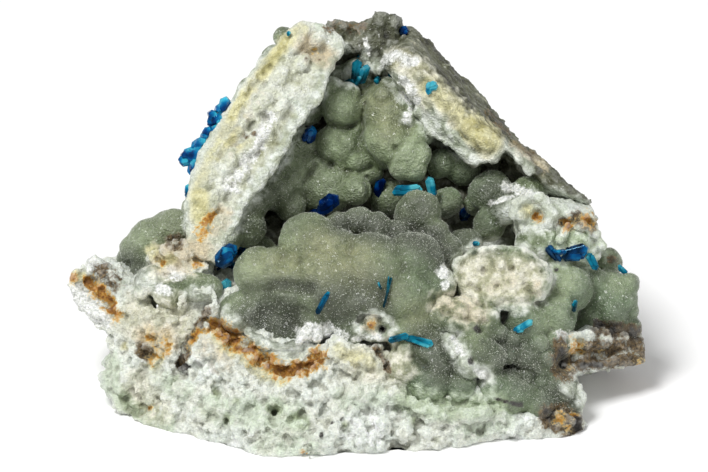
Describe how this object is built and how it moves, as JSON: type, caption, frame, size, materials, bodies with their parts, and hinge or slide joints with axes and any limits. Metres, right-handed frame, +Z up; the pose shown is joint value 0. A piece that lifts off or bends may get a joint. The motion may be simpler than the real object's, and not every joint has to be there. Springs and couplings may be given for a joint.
{
  "type": "mineral specimen, veszelyite on hemimorphite",
  "caption": "Tent-shaped lump of bubbly grey-green hemimorphite with a hollow front, set with small blue veszelyite crystals.",
  "frame": {"origin": "centre of the overall box at the flat underside that the specimen rests on", "axes": "+Z up, +X to the right as seen from the display side, -Y towards the viewer"},
  "size_m": [0.034, 0.0212, 0.0192],
  "materials": {
    "hemimorphite": "satin",
    "veszelyite_blue": "polished",
    "veszelyite_teal": "polished"
  },
  "bodies": {
    "root": {"hemimorphite": "hemimorphite", "crystals_left_rim": "veszelyite_blue", "crystal_left_rim_foot": "veszelyite_blue", "crystals_wall_foot": "veszelyite_blue", "crystal_wall_foot_low": "veszelyite_blue", "crystal_inner_wall": "veszelyite_blue", "crystal_leaf": "veszelyite_blue", "crystal_vault_blade": "veszelyite_blue", "crystals_vault_rod": "veszelyite_blue", "crystal_shadow": "veszelyite_blue", "crystals_apex_fan": "veszelyite_teal", "crystal_apex_round": "veszelyite_teal", "crystal_apex_sliver": "veszelyite_teal", "crystal_right_edge": "veszelyite_blue", "crystal_summit": "veszelyite_blue", "crystal_left_top": "veszelyite_teal", "crystals_right_pair": "veszelyite_blue", "crystal_right_drop": "veszelyite_blue", "crystal_right_dome": "veszelyite_blue", "crystal_right_hollow": "veszelyite_teal", "crystal_right_field": "veszelyite_blue", "crystal_long_needle": "veszelyite_blue", "crystal_thin_needle": "veszelyite_teal", "crystal_centre_blade": "veszelyite_blue", "crystal_oval_top": "veszelyite_blue", "crystal_centre_speck": "veszelyite_teal", "crystal_vug_speck": "veszelyite_teal"}
  },
  "joints": []
}
